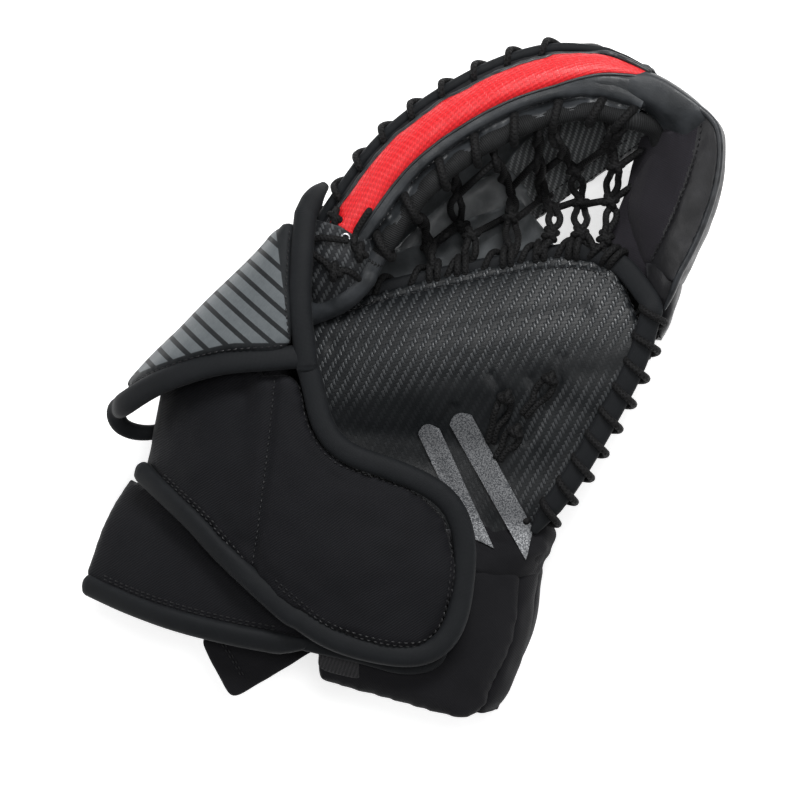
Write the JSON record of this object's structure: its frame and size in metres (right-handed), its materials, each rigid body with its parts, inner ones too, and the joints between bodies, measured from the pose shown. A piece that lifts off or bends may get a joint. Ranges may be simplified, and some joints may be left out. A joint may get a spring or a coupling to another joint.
{
  "type": "goalie catch glove",
  "caption": "Left-hand ice hockey goalie catch glove: padded palm, laced pocket net under a hinged thumb band, and a flared cuff with padded wrist wraps that open.",
  "frame": {"origin": "on the flat outer face of the finger guard, which the glove rests on, under the heel of the palm", "axes": "+Z out of the palm, +Y across the palm towards the pocket and the thumb, +X towards the finger side of the rim"},
  "size_m": [0.3685, 0.3842, 0.1224],
  "materials": {
    "carbon_leather": "black synthetic leather embossed with a diagonal carbon-fibre weave",
    "red_leather": "red synthetic leather with the same weave, semi-gloss",
    "black_nylon": "padded black nylon twill",
    "binding_tape": "folded and stitched black binding",
    "foam": "closed-cell foam",
    "lining": "soft lining cloth",
    "lace": "braided black skate lace",
    "cuff_print": "grey fabric with black diagonal lines",
    "reflective": "speckled grey reflective tape",
    "webbing": "ribbed nylon webbing",
    "hook_tape": "hook-and-loop tape"
  },
  "bodies": {
    "hand": {"palm_skin": "carbon_leather", "palm_pad": "foam", "palm_liner": "lining", "palm_top_roll": "binding_tape", "palm_side_binding": "binding_tape", "palm_side_lace": "lace", "pinky_gusset": "black_nylon", "pocket_gusset": "black_nylon", "finger_side_wall": "carbon_leather", "reflective_strip_inner": "reflective", "reflective_strip_outer": "reflective", "palm_cinch_lace": "lace", "finger_guard": "carbon_leather", "index_stall": "lining", "middle_stall": "lining", "ring_stall": "lining", "little_stall": "lining", "rim_pad": "carbon_leather", "rim_piping": "binding_tape", "pocket_net": "lace", "thumb_web": "carbon_leather"},
    "thumb": {"thumb_board": "carbon_leather", "thumb_stripe": "red_leather", "thumb_inner_roll": "binding_tape", "thumb_outer_binding": "binding_tape", "thumb_outer_lace": "lace", "thumb_guard": "carbon_leather", "thumb_stall": "lining", "thumb_tie_lace": "lace"},
    "spine": {"pocket_spine": "carbon_leather", "spine_base_pad": "carbon_leather"},
    "wrist": {"wrist_back_pad": "black_nylon", "wrist_side_pad": "black_nylon", "wrap_base": "black_nylon", "lower_wrap_base": "black_nylon", "cuff_board": "cuff_print", "cuff_side_binding": "binding_tape", "cuff_lower_binding": "binding_tape", "wrap_base_binding": "binding_tape", "lower_base_binding": "binding_tape", "webbing_strap": "webbing", "strap_tail": "black_nylon"},
    "upper_wrap": {"upper_wrap_flap": "black_nylon", "upper_wrap_binding": "binding_tape", "upper_hook_patch": "hook_tape"},
    "lower_wrap": {"lower_wrap_flap": "black_nylon", "lower_flap_binding": "binding_tape"},
    "backhand_strap_body": {"backhand_strap": "black_nylon", "backhand_hook_patch": "hook_tape"}
  },
  "joints": [
    {"name": "glove_close", "type": "hinge", "parent": "hand", "child": "thumb", "pos_m": [-0.04, 0.028, 0.03], "axis": [0.7396, 0.5839, 0.3348], "range_deg": [0, 45], "deforming": ["pocket_net", "thumb_web"]},
    {"name": "spine_fold", "type": "hinge", "parent": "hand", "child": "spine", "pos_m": [-0.04, 0.028, 0.03], "axis": [0.7396, 0.5839, 0.3348], "range_deg": [0, 22.5]},
    {"name": "wrist_flex", "type": "hinge", "parent": "hand", "child": "wrist", "pos_m": [0, -0.075, 0.01], "axis": [0.867, -0.4983, 0], "range_deg": [0, 12]},
    {"name": "upper_wrap_open", "type": "hinge", "parent": "wrist", "child": "upper_wrap", "pos_m": [-0.08, -0.05, 0.101], "axis": [-0.1, -0.995, 0], "range_deg": [0, 120]},
    {"name": "lower_wrap_open", "type": "hinge", "parent": "wrist", "child": "lower_wrap", "pos_m": [-0.064, -0.12, 0.086], "axis": [-0.1, -0.995, 0], "range_deg": [0, 72]},
    {"name": "backhand_strap_open", "type": "hinge", "parent": "hand", "child": "backhand_strap_body", "pos_m": [0.043, -0.086, 0.005], "axis": [-0.5201, -0.8541, 0], "range_deg": [0, 70]}
  ],
  "couplings": [
    {"joint": "spine_fold", "follows": "glove_close", "ratio": 0.5},
    {"joint": "lower_wrap_open", "follows": "upper_wrap_open", "ratio": 0.6}
  ]
}
